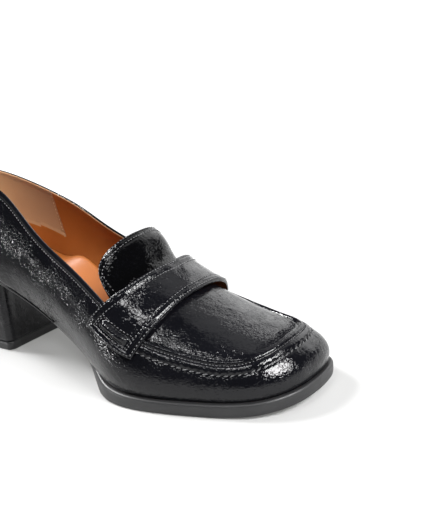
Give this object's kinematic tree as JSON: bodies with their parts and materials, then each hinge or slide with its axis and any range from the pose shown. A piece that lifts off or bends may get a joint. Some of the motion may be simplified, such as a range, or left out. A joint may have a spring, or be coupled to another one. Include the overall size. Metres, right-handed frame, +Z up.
{
  "type": "loafer pump",
  "caption": "Right loafer pump with a block heel, apron toe, tongue and saddle strap over the instep, open at the collar for the foot",
  "frame": {"origin": "middle of the heel's foot, on the plane that the shoe stands on", "axes": "+X toward the toe, +Y toward the inner side of the foot, +Z up"},
  "size_m": [0.2464, 0.0939, 0.1051],
  "materials": {
    "patent": "crinkled patent gloss",
    "tongue_patent": "crinkled patent gloss",
    "strap_patent": "crinkled patent gloss",
    "sock": "smooth",
    "outsole": "matte",
    "heel_cover": "leather covered, gloss",
    "top_piece": "matte"
  },
  "bodies": {
    "root": {"upper": "patent", "tongue": "tongue_patent", "saddle_strap": "strap_patent", "insole": "sock", "outsole": "outsole", "heel": "heel_cover", "heel_top_piece": "top_piece"}
  },
  "joints": []
}
